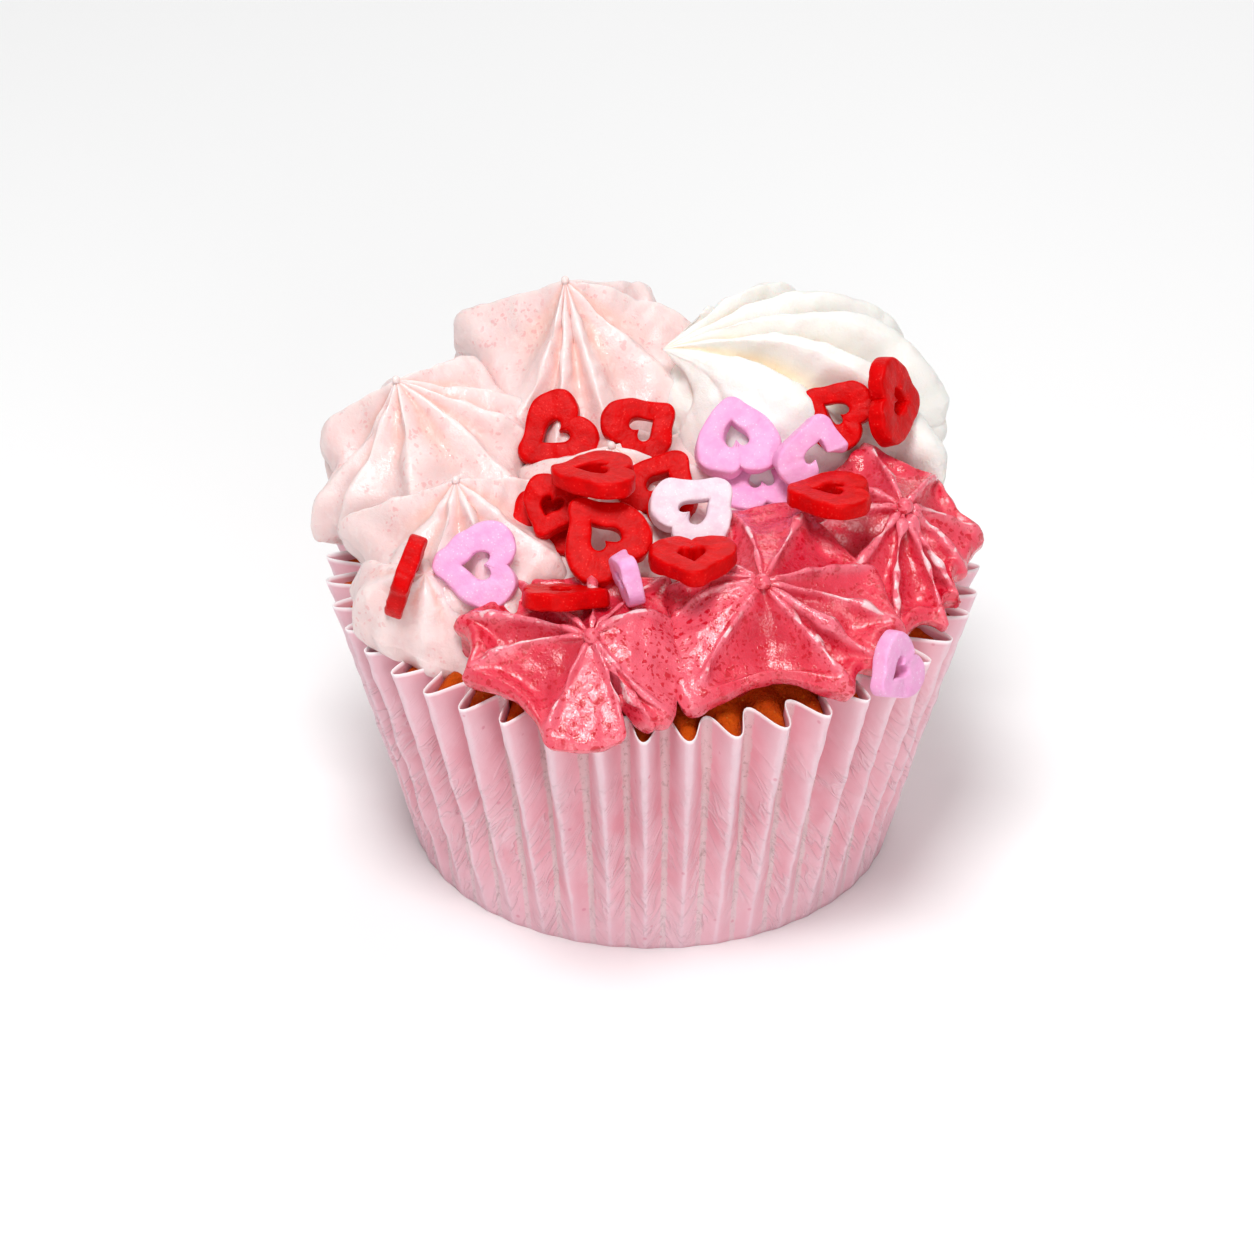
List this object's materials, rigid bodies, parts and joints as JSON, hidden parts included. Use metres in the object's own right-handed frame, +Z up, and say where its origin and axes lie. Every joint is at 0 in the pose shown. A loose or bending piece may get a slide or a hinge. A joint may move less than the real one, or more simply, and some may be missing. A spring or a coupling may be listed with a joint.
{
  "type": "cupcake",
  "caption": "Cupcake in a pleated paper case, topped with piped dollops of icing and small heart-shaped sugar sweets.",
  "frame": {"origin": "middle of the paper case's floor, on the surface it stands on", "axes": "+Z up, -Y towards the front, where the berry icing hangs over the rim, +X to the right seen from the front"},
  "size_m": [0.0699, 0.0686, 0.054],
  "materials": {
    "paper": "matte pleated paper, slightly translucent",
    "cake": "moist baked sponge",
    "icing_pale": "soft satin buttercream",
    "icing_white": "soft satin buttercream",
    "icing_berry": "wet fruit buttercream",
    "heart_red": "grainy pressed sugar",
    "heart_pink": "grainy pressed sugar",
    "heart_blush": "grainy pressed sugar"
  },
  "bodies": {
    "root": {"paper_case": "paper", "cake": "cake", "icing_pale_back": "icing_pale", "icing_white": "icing_white", "icing_pale_centre": "icing_pale", "icing_pale_left": "icing_pale", "icing_pale_low": "icing_pale", "icing_pale_front": "icing_pale", "icing_berry_right": "icing_berry", "icing_berry_middle": "icing_berry", "icing_berry_front": "icing_berry", "heart_red_front_edge": "heart_red", "heart_red_leaning": "heart_red", "heart_red_tucked": "heart_red", "heart_red_behind": "heart_red", "heart_red_large": "heart_red", "heart_blush": "heart_blush", "heart_red_flat": "heart_red", "heart_pink_on_end": "heart_pink", "heart_red_lying": "heart_red", "heart_red_back_left": "heart_red", "heart_red_back_right": "heart_red", "heart_pink_low": "heart_pink", "heart_pink_back": "heart_pink", "heart_red_arch": "heart_red", "heart_pink_broken": "heart_pink", "heart_red_right_edge": "heart_red", "heart_red_upright": "heart_red", "heart_red_left_edge": "heart_red", "heart_pink_left": "heart_pink", "heart_pink_rim": "heart_pink"}
  },
  "joints": []
}
